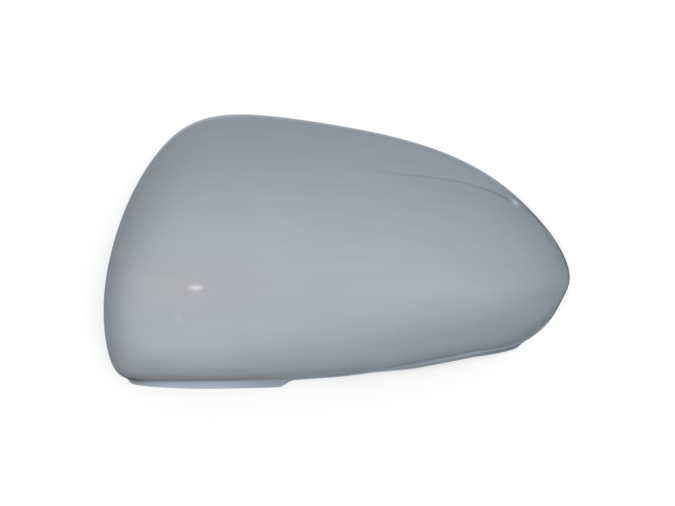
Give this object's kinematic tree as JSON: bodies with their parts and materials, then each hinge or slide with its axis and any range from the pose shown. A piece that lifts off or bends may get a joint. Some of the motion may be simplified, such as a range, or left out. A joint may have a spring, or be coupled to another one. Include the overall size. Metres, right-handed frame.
{
  "type": "wing mirror cover",
  "caption": "Primed cap for a car's door mirror: a long domed shell, blunt outboard and tapered to its nose, with hooks and pins moulded inside.",
  "frame": {"origin": "under the middle of the cover's box, on the plane that the rim rests on", "axes": "+Z out of the cover through its crown, +X along the cover to the nose at the door, +Y up as it sits on the car"},
  "size_m": [0.2054, 0.1208, 0.062],
  "materials": {
    "primer": "satin grey primer over moulded plastic, ready for body colour"
  },
  "bodies": {
    "root": {"mirror_cover": "primer"}
  },
  "joints": []
}
